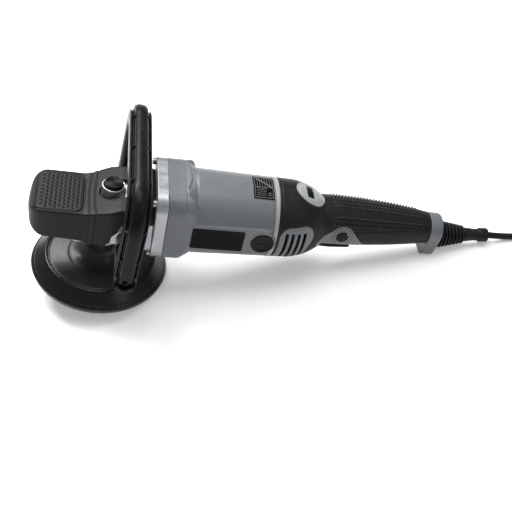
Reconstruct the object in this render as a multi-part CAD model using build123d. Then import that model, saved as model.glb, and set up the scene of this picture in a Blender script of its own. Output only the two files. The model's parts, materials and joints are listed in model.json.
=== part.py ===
from build123d import *
import math
import os

# Dual action polisher, millimetres.
# Tool frame: the drive spindle stands on Z at X = 0, Y = 0, the motor axis runs along +X at AXIS_Z towards
# the cord, and Z = 0 is the working face of the backing plate. place() then lays the tool down as it rests
# on a bench, on the rear edge of its plate and on its tail foot, with Z = 0 as the bench.

# Driving dimensions
AXIS_Z = 97.0            # motor axis above the working face
PLATE_R = 75.0           # backing plate, 150 mm class
CORE_HALF = 30.0         # half width of the gear casting under its cover
ORBIT = 4.0              # throw of the eccentric: the plate orbits 8 mm across, and at rest it stands at +Y
FOOT_X = 367.0           # the tail foot, and how low it reaches
FOOT_Z = 69.5
REST_X = 74.2 + 0.3      # the bench touches the plate's rear edge here
REST_TILT = math.degrees(math.atan2(FOOT_Z, FOOT_X - REST_X))    # tail down
RUN = 0.05               # running fit, radial
WALL = 3.0               # moulded shells

SPINDLE_R = 6.0
HUB_R = 15.0             # eccentric hub at the foot of the drive spindle
HUB_Z = (38.0, 56.0)
RING_R = 23.5            # bearing box below the gear housing
RING_Z = (56.0, 66.0)

GEAR_TEETH = 27
PINION_TEETH = 9
GEAR_PITCH_R = 22.5
FACE_WIDTH = 8.0

SHAFT_R = 5.0
FLANGE_X = (50.0, 62.0)          # rear flange of the gear housing
MOTOR_X = (62.0, 174.0)
BAND_X = (174.0, 178.5)
END_RING_X = (358.0, 373.0)
BODY_R = (45.5, 43.3)            # motor body, front and rear
FLANGE_HALF = 43.5
FLANGE_CORNER = 21.0
BRUSH_X = 164.0
BRUSH_BOSS_R = 14.0
CAP_R = 11.9                     # brush caps

HOOP_HALF = 96.0                 # loop handle, half its outer width
HOOP_TOP = 176.5
HOOP_CORNER = 40.0
HOOP_X = 24.2                    # at its feet
HOOP_LEAN = 3.8                  # degrees, top towards the tail
HOOP_SIZE = (23.0, 25.0)         # along the tool, and through the loop
HOOP_BOLT_Z = 74.5
HOOP_SEAT_Y = 45.0               # threaded bosses of the gear housing end here

BUTTON_X = 7.3
BUTTON_TOP = 126.0
LOCK_HOLES = 6
DIAL_X = 214.0
LOCK_X = 254.3
TRIGGER_PIVOT = (227.0, 77.0)    # X, Z

BOOT_TILT = 4.0                  # degrees, the boot rises a little against the tool axis
BOOT_LENGTH = 62.0
BOOT_Z = 92.0
CORD_D = 7.6
COIL_MEAN_R = 42.0
COIL_WIDE = 4                    # turns side by side
COIL_HIGH = 2                    # layers

GRIP_RISE = 3.4                  # the grip's axis lies this far above the motor axis
GRIP_R = (27.2, 25.4, 17.8)      # at its front, middle and rear
SWELL_R = (43.3, 42.8, 38.2, 28.0)
SWELL_X = (178.5, 198.0, 216.0, 233.0)
GRIP_X = (226.0, 290.0, 358.0)


# ---------------------------------------------------------------- helpers

def ring(outer, inner, low, high):
    body = Pos(0, 0, (low + high) / 2) * Cylinder(outer, high - low)
    if inner > 0:
        body -= Pos(0, 0, (low + high) / 2) * Cylinder(inner, high - low + 2)
    return body


def along_motor(shape):
    """Turns a shape built on Z so that it lies on the motor axis, its +Z towards the tail."""
    return Pos(0, 0, AXIS_Z) * Rot(0, 90, 0) * shape


def block(x, y, z):
    """A box given by its lowest and highest coordinate on each axis."""
    size = [b - a for a, b in (x, y, z)]
    middle = [(a + b) / 2 for a, b in (x, y, z)]
    return Pos(*middle) * Box(*size)


def across(x, z, radius, y):
    """A cylinder along Y."""
    return Pos(x, (y[0] + y[1]) / 2, z) * Rot(90, 0, 0) * Cylinder(radius, y[1] - y[0])


def side_prism(outline, y):
    """Extrudes a face drawn in X and Z between two values of Y."""
    plane = Plane(origin=(0, y[0], 0), x_dir=(1, 0, 0), z_dir=(0, -1, 0))
    return extrude(plane * outline, amount=-(y[1] - y[0]))


def rounded_square(x, half, corner):
    plane = Plane(origin=(x, 0, AXIS_Z), x_dir=(0, 1, 0), z_dir=(1, 0, 0))
    return plane * RectangleRounded(2 * half, 2 * half, corner)


def spring(radius, wire, low, high, turns):
    """A closed coil drawn as a stack of rings on a thin core tube, one solid."""
    body = ring(radius - wire / 2 + 0.2, radius - wire / 2 - 0.3, low, high)
    pitch = (high - low - wire) / turns
    for i in range(turns + 1):
        body += Pos(0, 0, low + wire / 2 + i * pitch) * Torus(radius, wire / 2)
    return body


def group(shapes):
    return Compound(children=list(shapes))


# ---------------------------------------------------------------- plate, on its own bearing axis

def backing_ring():
    outline = Polyline((52, 2.4), (74.2, 2.4), (PLATE_R, 4.5), (74.6, 6.4), (60.4, 20.0), (58.6, 20.6),
                       (57.2, 18.6), (57.2, 15.0), (52, 15.0), close=True)
    return revolve(Plane.XZ * make_face(outline), Axis.Z)


def hub_profile():
    """Half section of the disc with its trumpet-shaped hub."""
    top = Line((57.1, 18.4), (36, 19.6))
    flare = ThreePointArc((36, 19.6), (19.5, 25.0), (14.2, 33.0))
    rest = Polyline((14.2, 33.0), (7.0, 33.0), (7.0, 2.4), (51.9, 2.4), (51.9, 15.0),
                    (57.1, 15.0), (57.1, 18.4))
    return make_face(Curve() + top + flare + rest)


def backing_disc():
    return revolve(Plane.XZ * hub_profile(), Axis.Z) - ring(8.7, 0, 2.0, 4.1)


def hook_face():
    return ring(73.5, 9.0, 0.0, 2.2)


def plate_spindle():
    """Turns in the two eccentric bearings; its hexagon takes the wrench."""
    body = ring(6.9, 0, 12.0, 33.2)
    body += extrude(Plane.XY.offset(33.2) * RegularPolygon(9.0, 6), 4.0)
    body += ring(4.0, 0, 37.0, 52.0)
    body -= ring(2.55, 0, 10.0, 28.0)
    return body


def plate_screw():
    body = ring(2.5, 0, 4.2, 27.0) + ring(8.5, 0, 2.6, 4.0) + ring(5.0, 0, 4.0, 11.9)
    return body - Pos(0, 0, 2.6) * Box(4, 4, 3)


# ---------------------------------------------------------------- drive spindle

def drive_spindle():
    body = ring(SPINDLE_R, 0, 56.0, 87.0) + ring(4.2, 0, 87.0, 92.6)
    body += ring(HUB_R, 0, HUB_Z[0], HUB_Z[1])
    body -= Pos(0, ORBIT, 0) * ring(9.5, 0, HUB_Z[0] - 1, 52.2)
    return body


def eccentric_bearings():
    rows = []
    for low in (40.0, 46.1):
        race = ring(9.5, 4.0 + RUN, low, low + 6.0)
        race -= ring(8.0, 5.6, low - 1, low + 0.5)
        rows.append(Pos(0, ORBIT, 0) * race)
    return group(rows)


def counterweight():
    """A half disc opposite to the throw, clamped to the spindle under the gear."""
    weight = ring(20.5, SPINDLE_R, 77.3, 81.0)
    return weight - block((-30.0, 30.0), (1.0, 30.0), (70.0, 90.0)) + ring(9.0, SPINDLE_R, 77.3, 81.0)


def spindle_bearings():
    """Large bearing in the bearing box and a smaller one in the gear housing."""
    lower = ring(15.0, SPINDLE_R + RUN, 57.5, 66.5) - ring(12.6, 8.6, 57.0, 58.3)
    upper = ring(13.0, SPINDLE_R + RUN, 69.0, 76.8) - ring(11.0, 8.2, 76.0, 77.2)
    return group([lower, upper])


def cone_tooth(reach, half_angle, add, ded, width, face):
    """One straight bevel tooth: it narrows towards the apex, which is the origin."""
    s, c = math.sin(half_angle), math.cos(half_angle)
    slope = math.tan(math.radians(20))

    def corner(height, side):
        half = width - height * slope
        return Vector(reach * s + height * c, side * half, reach * c - height * s)

    outer = [corner(-ded, -1), corner(add, -1), corner(add, 1), corner(-ded, 1)]
    scale = (reach - face) / reach
    inner = [p * scale for p in outer]
    faces = [make_face(Polyline(*pts, close=True)) for pts in (outer, inner)]
    return loft(faces)


def bevel_gear(teeth, half_angle, reach, back, bore):
    """A straight bevel gear with its apex at the origin and its axis on +Z."""
    add, ded = 1.0, 1.5
    s, c = math.sin(half_angle), math.cos(half_angle)
    shrink = (reach - FACE_WIDTH) / reach
    outer = (reach * s - ded * c, reach * c + ded * s)
    inner = (outer[0] * shrink, outer[1] * shrink)
    blank = Polyline((bore, inner[1]), inner, outer, (outer[0], back), (bore, back), close=True)
    body = revolve(Plane.XZ * make_face(blank), Axis.Z)
    tooth = cone_tooth(reach, half_angle, add, ded + 0.3, 1.0, FACE_WIDTH)
    return body + [Rot(0, 0, 360 / teeth * i) * tooth for i in range(teeth)]


PITCH_ANGLE = math.atan2(GEAR_TEETH, PINION_TEETH)
CONE_REACH = GEAR_PITCH_R / math.sin(PITCH_ANGLE)


def driven_gear():
    """Crown gear on the spindle, with six holes that the spindle lock drops into."""
    gear = bevel_gear(GEAR_TEETH, PITCH_ANGLE, CONE_REACH, 15.7, SPINDLE_R)
    gear = Pos(0, 0, AXIS_Z) * Rot(180, 0, 0) * Rot(0, 0, 180 / GEAR_TEETH) * gear
    body = gear + ring(11.3, 4.2, 87.0, 92.0)
    for i in range(LOCK_HOLES):
        body -= Rot(0, 0, 360 / LOCK_HOLES * i) * Pos(BUTTON_X, 0, 91.5) * Cylinder(2.9, 7)
    return body


def pinion():
    gear = bevel_gear(PINION_TEETH, math.pi / 2 - PITCH_ANGLE, CONE_REACH, 25.5, 3.5)
    return along_motor(gear)


def bearing_box():
    body = ring(RING_R, 15.0, *RING_Z) - ring(13.2, 0, 50.0, 70.0)
    body += ring(15.0, 12.8, RING_Z[0], 57.5)
    flange = ring(31.0, 15.0, RING_Z[1], 69.0)
    body = body + flange
    for i in range(4):
        body -= Rot(0, 0, 45 + 90 * i) * Pos(27.0, 0, 67.5) * Cylinder(2.1, 6)
    return body


def bearing_box_screws():
    screws = []
    for i in range(4):
        screw = ring(2.0, 0, 66.0, 76.0) + ring(3.3, 0, 63.0, 66.0)
        screws.append(Rot(0, 0, 45 + 90 * i) * Pos(27.0, 0, 0) * screw)
    return group(screws)


# ---------------------------------------------------------------- gear head

def head_form():
    """Outer form of the head: its side view, its plan and its front view, all three at once."""
    side = make_face(
        Curve() + Line((50, 67), (-6, 67)) + Line((-6, 67), (-34, 71)) + Line((-34, 71), (-60, 72.5))
        + ThreePointArc((-60, 72.5), (-72.5, 79.0), (-77, 90))
        + ThreePointArc((-77, 90), (-73.5, 103.0), (-62, 108.5)) + Line((-62, 108.5), (-20, 107.5))
        + Line((-20, 107.5), (14, 118.5)) + Line((14, 118.5), (40, 120.5))
        + Line((40, 120.5), (40, 123.5)) + Line((40, 123.5), (50, 123.5)) + Line((50, 123.5), (50, 67)))
    plan = make_face(
        Curve() + ThreePointArc((-58, -33), (-70.5, -28.5), (-75.5, -17))
        + ThreePointArc((-75.5, -17), (-77.5, 0), (-75.5, 17))
        + ThreePointArc((-75.5, 17), (-70.5, 28.5), (-58, 33)) + Line((-58, 33), (-20, 33.5))
        + Line((-20, 33.5), (6, 38.5)) + Line((6, 38.5), (50, 38.5)) + Line((50, 38.5), (50, -38.5))
        + Line((50, -38.5), (6, -38.5)) + Line((6, -38.5), (-20, -33.5)) + Line((-20, -33.5), (-58, -33)))
    front = Pos(0, 92.4) * RectangleRounded(77.0, 63.2, 13.0)
    front_plane = Plane(origin=(-90, 0, 0), x_dir=(0, 1, 0), z_dir=(1, 0, 0))
    form = side_prism(side, (-60, 60)) & (Pos(0, 0, 60) * extrude(plan, 80))
    return form & extrude(front_plane * front, 150)


def head_core():
    """The casting that the rubber cover sits on."""
    side = make_face(Polyline((-34, 66), (-34, 103.5), (-18, 103.5), (14, 114), (50, 116.5), (50, 66),
                              close=True))
    box = side_prism(side, (-CORE_HALF, CORE_HALF))
    box = box & (Pos(0, 0, 60) * extrude(Pos(8.0, 0) * RectangleRounded(84.0, 2 * CORE_HALF, 8.0), 80))
    nose = block((-64.0, -30.0), (-24.0, 24.0), (73.5, 100.0))
    return box + fillet(nose.edges().filter_by(Axis.X), 7.0)


def gear_housing():
    body = head_core()
    body += extrude(rounded_square(FLANGE_X[0], FLANGE_HALF, FLANGE_CORNER), FLANGE_X[1] - FLANGE_X[0])
    body += extrude(rounded_square(40.0, 38.0, 14.0), 10.0) - block((0, 60), (-60, 60), (104.0, 150.0))
    body += Pos(BUTTON_X, 0, 0) * ring(12.0, 0, 100.0, 122.5)
    # gear room, retainer recess, bearing seats, pinion bore, nose hollow and button well
    body -= ring(26.3, 0, 79.0, 99.0)
    body -= ring(22.5, 0, 76.9, 80.0)
    body -= ring(13.0, 0, 68.9, 77.0)
    body -= ring(31.0, 0, 60.0, 69.0)
    body -= along_motor(ring(12.5, 0, 5.0, 51.0))
    body -= along_motor(ring(15.0, 0, 46.1, 55.5))
    body -= along_motor(ring(36.0, 0, 55.5, 70.0))
    body -= block((-60.0, -36.0), (-19.0, 19.0), (78.0, 96.0))
    body -= Pos(BUTTON_X, 0, 0) * ring(10.2, 0, 112.0, 130.0)
    body -= Pos(BUTTON_X, 0, 0) * ring(2.6, 0, 98.0, 115.0)
    for y in (-1, 1):
        body += across(HOOP_X, HOOP_BOLT_Z, 10.5, sorted((y * 28.0, y * HOOP_SEAT_Y)))
        body -= across(HOOP_X, HOOP_BOLT_Z, 4.05, sorted((y * 29.5, y * 50.0)))
    for y in (-1, 1):
        for z in (-1, 1):
            body -= Pos(56.0, y * 34.0, AXIS_Z + z * 34.0) * Rot(0, 90, 0) * Cylinder(2.6, 14)
            body -= Pos(44.0, y * 34.0, AXIS_Z + z * 34.0) * Rot(0, 90, 0) * Cylinder(4.3, 12)
    for i in range(4):
        body -= Rot(0, 0, 45 + 90 * i) * Pos(27.0, 0, 73.0) * Cylinder(2.1, 10)
    return body


def head_cover():
    skin = head_form() - head_core()
    skin -= block((FLANGE_X[0] - 0.2, 80.0), (-60, 60), (60.0, 130.0))
    # the side walls end on a stepped slope ahead of the loop handle; only the top runs on to the flange
    cut = make_face(Polyline((3, 60), (3, 71), (7.5, 75), (8.5, 83), (14, 89), (17, 98), (24, 104.5),
                             (60, 104.5), (60, 60), close=True))
    skin -= side_prism(cut, (-60, 60))
    skin -= Pos(BUTTON_X, 0, 115.0) * Cylinder(13.2, 40)
    skin -= block((BUTTON_X, 24.0), (-13.2, 13.2), (105.0, 130.0))
    skin -= ring(31.3, 0, 60.0, 73.0)
    return skin


def spindle_lock_button():
    cap = ring(9.7, 0, 117.0, BUTTON_TOP)
    cap = fillet(cap.edges().sort_by(Axis.Z)[-1], 1.2)
    pin = ring(2.4, 0, 94.0, 118.0)
    return Pos(BUTTON_X, 0, 0) * (cap + pin)


def spindle_lock_spring():
    return Pos(BUTTON_X, 0, 0) * spring(5.0, 0.9, 112.1, 116.9, 3)


def hoop_frame(shape):
    """Leans the loop back about its bolt holes."""
    return Pos(HOOP_X, 0, HOOP_BOLT_Z) * Rot(0, HOOP_LEAN, 0) * Pos(-HOOP_X, 0, -HOOP_BOLT_Z) * shape


def hoop_bar():
    half = HOOP_HALF - HOOP_SIZE[1] / 2
    top = HOOP_TOP - HOOP_SIZE[1] / 2
    bend = HOOP_CORNER - HOOP_SIZE[1] / 2
    low = HOOP_BOLT_Z - 1.0
    route = FilletPolyline((HOOP_X, -half, low), (HOOP_X, -half, top), (HOOP_X, half, top),
                           (HOOP_X, half, low), radius=bend)
    start = Plane(origin=(HOOP_X, -half, low), x_dir=(1, 0, 0), z_dir=(0, 0, 1))
    return hoop_frame(sweep(start * RectangleRounded(*HOOP_SIZE, 8.5), path=route))


def loop_handle():
    body = hoop_bar()
    for y in (-1, 1):
        body += across(HOOP_X, HOOP_BOLT_Z, 11.4, sorted((y * HOOP_SEAT_Y, y * HOOP_HALF)))
        body -= across(HOOP_X, HOOP_BOLT_Z, 4.1, sorted((y * 40.0, y * 100.0)))
        body -= across(HOOP_X, HOOP_BOLT_Z, 6.8, sorted((y * 84.0, y * 100.0)))
    return body


def loop_handle_bolts():
    """Two M8 socket screws from the outer faces into the gear housing."""
    bolts = []
    for y in (-1, 1):
        bolt = across(HOOP_X, HOOP_BOLT_Z, 4.0, sorted((y * 31.0, y * 84.0)))
        bolt += across(HOOP_X, HOOP_BOLT_Z, 6.5, sorted((y * 84.0, y * 91.0)))
        socket = Rot(90, 0, 0) * extrude(RegularPolygon(3.4, 6), 4, both=True)
        socket = Pos(HOOP_X, y * 91.0, HOOP_BOLT_Z) * socket
        bolts.append(bolt - socket)
    return group(bolts)


def flange_screws():
    screws = []
    for y in (-1, 1):
        for z in (-1, 1):
            screw = ring(3.7, 0, FLANGE_X[0] - 3.4, FLANGE_X[0])
            screw += ring(2.55, 0, FLANGE_X[0], FLANGE_X[0] + 26)
            screw -= Pos(0, 0, FLANGE_X[0] - 3.4) * Cylinder(1.8, 4)
            screws.append(Pos(0, y * 34.0, z * 34.0) * along_motor(screw))
    return group(screws)


# ---------------------------------------------------------------- motor

def armature_shaft():
    body = ring(3.5, 0, 14.0, 30.0) + ring(SHAFT_R, 0, 30.0, 172.0) + ring(4.0, 0, 172.0, 184.0)
    return along_motor(body)


def armature_bearings():
    front = ring(14.95, SHAFT_R + RUN, 46.2, 55.2) - ring(12.6, 7.6, 54.4, 56.0)
    rear = ring(11.0, 4.0 + RUN, 174.6, 181.6) - ring(9.2, 6.2, 180.9, 182.0)
    return group([along_motor(front), along_motor(rear)])


def fan_baffle():
    """Plate behind the gear housing that carries the bearing retainer and steers the cooling air."""
    plate = ring(35.8, 6.5, 55.6, 58.4) + ring(14.9, 6.5, 55.3, 55.6)
    for i in range(6):
        plate -= Rot(0, 0, 60 * i + 30) * Pos(26.0, 0, 57.0) * Cylinder(4.5, 6)
    return along_motor(plate)


def cooling_fan():
    body = ring(9.0, SHAFT_R, 62.0, 78.0) + ring(34.5, SHAFT_R, 74.0, 76.0)
    blade = block((8.0, 34.0), (-0.8, 0.8), (63.5, 75.0))
    return along_motor(body + [Rot(0, 0, 360 / 15 * i) * blade for i in range(15)])


def armature_core():
    core = ring(22.0, SHAFT_R, 92.0, 138.0)
    slot = Pos(18.5, 0, 115.0) * Box(8.0, 1.6, 48.0)
    return along_motor(core - [Rot(0, 0, 360 / 12 * i) * slot for i in range(12)])


def armature_windings():
    front = ring(19.0, SHAFT_R, 84.0, 92.0)
    rear = ring(19.0, SHAFT_R, 138.0, 146.0)
    front = fillet(front.edges().group_by(Axis.Z)[0].sort_by(SortBy.RADIUS)[-1], 3.0)
    rear = fillet(rear.edges().group_by(Axis.Z)[-1].sort_by(SortBy.RADIUS)[-1], 3.0)
    return group([along_motor(front), along_motor(rear)])


def commutator():
    body = ring(13.0, SHAFT_R, 155.0, 171.0) + ring(14.6, SHAFT_R, 152.0, 155.0)
    slot = Pos(13.0, 0, 163.5) * Box(2.0, 0.5, 16.0)
    return along_motor(body - [Rot(0, 0, 360 / 24 * i) * slot for i in range(24)])


def stator_core():
    core = ring(38.6, 23.0, 92.0, 138.0)
    for side in (0, 180):
        core -= Rot(0, 0, side + 90) * Pos(28.0, 0, 115.0) * Box(12.0, 36.0, 50.0)
    return along_motor(core)


def field_coils():
    coils = []
    for side in (0, 180):
        outer = Rot(0, 0, side + 90) * Pos(28.0, 0, 115.0) * Box(9.0, 35.0, 62.0)
        coil = fillet(outer.edges().filter_by(Axis.Z), 3.0)
        coils.append(along_motor(coil))
    return group(coils)


def motor_shell(inset):
    """Outer form of the motor housing, or its cavity when inset by the wall."""
    i = inset
    flange = extrude(rounded_square(MOTOR_X[0], FLANGE_HALF - i, FLANGE_CORNER - i), 18.0)
    shoulder = loft([
        rounded_square(MOTOR_X[0] + 18.0, FLANGE_HALF - i, FLANGE_CORNER - i),
        rounded_square(93.0, BODY_R[0] - 1.2 - i, BODY_R[0] - 1.3 - i)])
    outline = Polyline((0, 92.0), (BODY_R[0] - i, 92.0), (BODY_R[1] - i, MOTOR_X[1]), (0, MOTOR_X[1]),
                       close=True)
    barrel = along_motor(revolve(Plane.XZ * make_face(outline), Axis.Z))
    return flange + shoulder + barrel


def motor_housing():
    body = motor_shell(0.0)
    for y in (-1, 1):
        panel = block((84.0, 170.0), sorted((y * 30.0, y * 43.9)), (AXIS_Z - 17.0, AXIS_Z + 17.0))
        body += panel
    for y in (-1, 1):
        body -= block((84.0, 180.0), sorted((y * 43.9, y * 60.0)), (AXIS_Z - 30.0, AXIS_Z + 30.0))
        body += across(BRUSH_X, AXIS_Z, BRUSH_BOSS_R - 0.1, sorted((y * 38.0, y * 44.8)))
    body -= motor_shell(WALL) - block((171.8, 180.0), (-60, 60), (0, 200))
    seat = along_motor(ring(38.7, 0, 91.0, 140.0))
    body += along_motor(ring(43.4, 38.8, 94.0, 98.0)) + along_motor(ring(43.4, 38.8, 132.0, 136.0))
    body -= seat
    body += along_motor(ring(15.0, 0, 171.8, 182.0))
    body -= along_motor(ring(11.0, 0, 170.0, 183.0))
    for i in range(4):
        body -= along_motor(Rot(0, 0, 45 + 90 * i) * Pos(27.0, 0, 172.0) * Cylinder(8.0, 20))
    for y in (-1, 1):
        body -= across(BRUSH_X, AXIS_Z, 7.6, sorted((y * 30.0, y * 50.0)))
        body -= across(BRUSH_X, AXIS_Z, CAP_R + 0.1, sorted((y * 43.3, y * 50.0)))
        for z in (-1, 1):
            body -= Pos(69.5, y * 34.0, AXIS_Z + z * 34.0) * Rot(0, 90, 0) * Cylinder(2.6, 17)
    return body


def name_plate():
    plates = side_prism(Pos(116.5, AXIS_Z) * RectangleRounded(55.0, 27.0, 2.0), (-44.5, -43.9))
    return plates


def speed_chart():
    """Thin curved label on top of the motor housing."""
    thick = 0.5
    outline = Polyline((0, 92.0), (BODY_R[0] + thick, 92.0), (BODY_R[1] + thick, MOTOR_X[1]),
                       (0, MOTOR_X[1]), close=True)
    outer = along_motor(revolve(Plane.XZ * make_face(outline), Axis.Z))
    label = block((150.0, 172.0), (-19.0, 13.0), (AXIS_Z + 20, AXIS_Z + 60)) & outer
    return label - motor_shell(0.0)


def mirrored_y(make):
    """The same piece on both sides of the tool."""
    near = make()
    return group([near, mirror(near, Plane.XZ)])


def brush_holders():
    def near():
        tube = across(BRUSH_X, AXIS_Z, 7.5, (-42.0, -16.0))
        return tube - Pos(BRUSH_X, -29.0, AXIS_Z) * Box(7.2, 30.0, 11.2)
    return mirrored_y(near)


def carbon_brushes():
    return mirrored_y(lambda: Pos(BRUSH_X, -20.3, AXIS_Z) * Box(6.8, 14.0, 10.8))


def brush_springs():
    def near():
        coil = spring(2.6, 0.7, 27.4, 41.9, 6)
        return Pos(BRUSH_X, 0, AXIS_Z) * Rot(90, 0, 0) * coil
    return mirrored_y(near)


def brush_caps():
    def near():
        cap = across(BRUSH_X, AXIS_Z, CAP_R, (-46.0, -43.4)) + across(BRUSH_X, AXIS_Z, 7.4, (-43.4, -42.0))
        cap -= across(BRUSH_X, AXIS_Z, CAP_R - 2.6, (-50.0, -45.0))
        return cap - Pos(BRUSH_X, -45.0, AXIS_Z) * Box(11.0, 1.6, 1.8)
    return mirrored_y(near)


def collar_band():
    band = along_motor(ring(BODY_R[1] + 0.3, 40.5, *BAND_X))
    for y in (-1, 1):
        band -= across(BRUSH_X, AXIS_Z, BRUSH_BOSS_R, sorted((y * 38.0, y * 60.0)))
    return band


# ---------------------------------------------------------------- rear handle

def handle_form(inset):
    """Swelling behind the motor, round the motor axis, and the grip, round its own raised axis."""
    i = inset
    swell = make_face(
        Curve() + Line((0, SWELL_X[0]), (SWELL_R[0] - i, SWELL_X[0]))
        + Line((SWELL_R[0] - i, SWELL_X[0]), (SWELL_R[1] - i, SWELL_X[1]))
        + ThreePointArc((SWELL_R[1] - i, SWELL_X[1]), (SWELL_R[2] - i, SWELL_X[2]),
                        (SWELL_R[3] - i, SWELL_X[3]))
        + Line((SWELL_R[3] - i, SWELL_X[3]), (0, SWELL_X[3])) + Line((0, SWELL_X[3]), (0, SWELL_X[0])))
    grip = make_face(
        Curve() + Line((0, GRIP_X[0]), (GRIP_R[0] - i, GRIP_X[0]))
        + ThreePointArc((GRIP_R[0] - i, GRIP_X[0]), (GRIP_R[1] - i, GRIP_X[1]), (GRIP_R[2] - i, GRIP_X[2]))
        + Line((GRIP_R[2] - i, GRIP_X[2]), (0, GRIP_X[2])) + Line((0, GRIP_X[2]), (0, GRIP_X[0])))
    swell = along_motor(revolve(Plane.XZ * swell, Axis.Z))
    grip = Pos(0, 0, GRIP_RISE) * along_motor(revolve(Plane.XZ * grip, Axis.Z))
    return swell + grip


def rounded_corners(*circles):
    """Outline stretched round circles, each given as its centre and radius."""
    return make_hull([edge for u, v, r in circles for edge in (Pos(u, v) * Circle(r)).edges()])


def vent_window(y):
    """The opening that a vent panel fills, and the panel's own outline."""
    outline = rounded_corners((193.5, 104.0, 12.0), (207.0, 105.0, 12.5), (186.5, 70.0, 5.0),
                              (203.0, 72.0, 8.0))
    return side_prism(outline, sorted((y * 15.0, y * 60.0)))


def surround_window(y):
    outline = rounded_corners((LOCK_X, 98.8, 13.6), (230.0, 91.0, 4.5), (276.0, 88.5, 4.0))
    return side_prism(outline, sorted((y * 8.0, y * 60.0)))


def handle_skin():
    return handle_form(0.0) - handle_form(WALL)


def vent_panels():
    skin = handle_skin()
    panels = []
    for y in (-1, 1):
        panel = skin & vent_window(y)
        for i in range(4):
            slot = Pos(189.2 + 6.6 * i, y * 35.0, 89.5) * Box(3.4, 40.0, 41.0)
            panel -= slot
        panels.append(panel)
    return group(panels)


def trigger_surrounds():
    skin = handle_form(-0.8) - handle_form(WALL)
    panels = [skin & surround_window(y) for y in (-1, 1)]
    panels[0] -= across(LOCK_X, 99.5, 6.8, (-60.0, 0.0))
    return group(panels)


def bezel_outline():
    return extrude(Pos(DIAL_X + 0.5, 0, 117.0) * Ellipse(17.0, 16.0), 40.0)


def dial_bezel():
    skin = handle_form(-0.9) - handle_form(WALL)
    bezel = skin & bezel_outline()
    return bezel - block((DIAL_X - 4.6, DIAL_X + 3.4), (-9.0, 9.0), (100.0, 160.0))


def speed_dial():
    wheel = Rot(0, 90, 0) * Cylinder(9.0, 6.4)
    notches = [Rot(360 / 18 * i, 0, 0) * Pos(0, 0, 9.0) * Box(8.0, 0.9, 1.2) for i in range(18)]
    axle = Rot(0, 90, 0) * Cylinder(1.5, 12.0)
    return Pos(DIAL_X - 0.6, 0, 127.0) * (wheel - notches + axle)


def speed_board():
    board = block((DIAL_X - 24.0, DIAL_X + 16.0), (-14.0, 14.0), (113.0, 114.6))
    ears = []
    for x in (-6.5, 5.3):
        ear = block((DIAL_X + x - 1.2, DIAL_X + x + 1.2), (-4.0, 4.0), (114.6, 129.3))
        ears.append(ear - Pos(DIAL_X + x, 0, 127.0) * Rot(0, 90, 0) * Cylinder(1.5 + RUN, 4))
    heat_sink = block((DIAL_X - 22.0, DIAL_X - 10.0), (-11.0, 11.0), (114.6, 122.0))
    return board + ears + heat_sink


def handle_shell(y):
    body = handle_skin() - block((0, 500), sorted((0.0, -y * 100.0)), (0, 250))
    body -= vent_window(y)
    body -= surround_window(y)
    body -= bezel_outline()
    body -= block((221.0, 279.5), (-9.0, 9.0), (66.0, 82.0))
    body -= block((228.5, 279.5), (-9.0, 9.0), (50.0, 66.0))
    return body


def switch_body():
    box = block((232.0, 264.0), (-9.5, 9.5), (84.0, 106.0))
    return fillet(box.edges().filter_by(Axis.Y), 2.0)


def trigger():
    """Paddle with two cheeks that turns on the trigger pin."""
    side = make_face(Polyline((222.6, 80.0), (222.6, 70.0), (230.0, 66.5), (252.0, 65.6), (272.5, 67.2),
                              (275.0, 69.2), (271.0, 72.6), (254.0, 74.2), (240.0, 77.0), (234.0, 82.0),
                              close=True))
    paddle = side_prism(side, (-8.3, 8.3))
    paddle -= across(TRIGGER_PIVOT[0], TRIGGER_PIVOT[1], 1.5 + RUN, (-10.0, 10.0))
    paddle -= block((236.0, 260.0), (-6.5, 6.5), (69.0, 90.0))
    return paddle


def trigger_pin():
    return across(*TRIGGER_PIVOT, 1.5, (-11.5, 11.5))


def trigger_spring():
    return Pos(246.0, 0, 0) * spring(3.2, 0.7, 69.1, 83.9, 5)


def lock_button():
    cap = across(LOCK_X, 99.5, 6.4, (-28.6, -20.0))
    cap = fillet(cap.edges().sort_by(Axis.Y)[0], 1.2)
    return cap + across(LOCK_X, 99.5, 2.0, (-20.0, -14.4))


def lock_spring():
    coil = spring(3.6, 0.7, 9.6, 19.9, 4)
    return Pos(LOCK_X, 0, 99.5) * Rot(90, 0, 0) * coil


def handle_screws():
    """Four screws across the handle shells and two through the cord clamp."""
    places = ((217.0, 73.0, 24.0), (282.0, 115.0, 14.0), (282.0, 84.0, 13.0), (330.0, 112.0, 12.0))
    screws = [across(x, z, 1.7, (-half, half)) for x, z, half in places]
    for y in (-8.0, 8.0):
        screws.append(Pos(342.0, y, 97.5) * Cylinder(1.4, 13.0) + Pos(342.0, y, 104.5) * Cylinder(2.6, 1.6))
    return group(screws)


# ---------------------------------------------------------------- tail, boot and cord

def bench_cut(shape):
    """Cuts away what would lie below the bench, which makes the foot's flat."""
    below = Pos(REST_X, 0, 0) * Rot(0, -REST_TILT, 0) * Pos(150, 0, -50) * Box(700, 300, 100)
    return shape - below


def end_ring():
    outline = make_hull([*(Pos(0, AXIS_Z + 1.0) * Ellipse(19.0, 20.0)).edges(),
                         *(Pos(-7.0, FOOT_Z + 9.0) * Circle(9.5)).edges(),
                         *(Pos(7.0, FOOT_Z + 9.0) * Circle(9.5)).edges()])
    plane = Plane(origin=(END_RING_X[0], 0, 0), x_dir=(0, 1, 0), z_dir=(1, 0, 0))
    body = extrude(plane * outline, END_RING_X[1] - END_RING_X[0])
    body = fillet(body.faces().sort_by(Axis.X)[-1].edges(), 3.5)
    body = body - across_boot(9.2, -20.0, 5.0) - across_boot(16.2, -1.5, 12.0)
    return bench_cut(body)


def boot_place(shape):
    """Boot frame: +Z runs from the end ring out along the cord."""
    return Pos(END_RING_X[1], 0, BOOT_Z) * Rot(0, 90 - BOOT_TILT, 0) * shape


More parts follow.
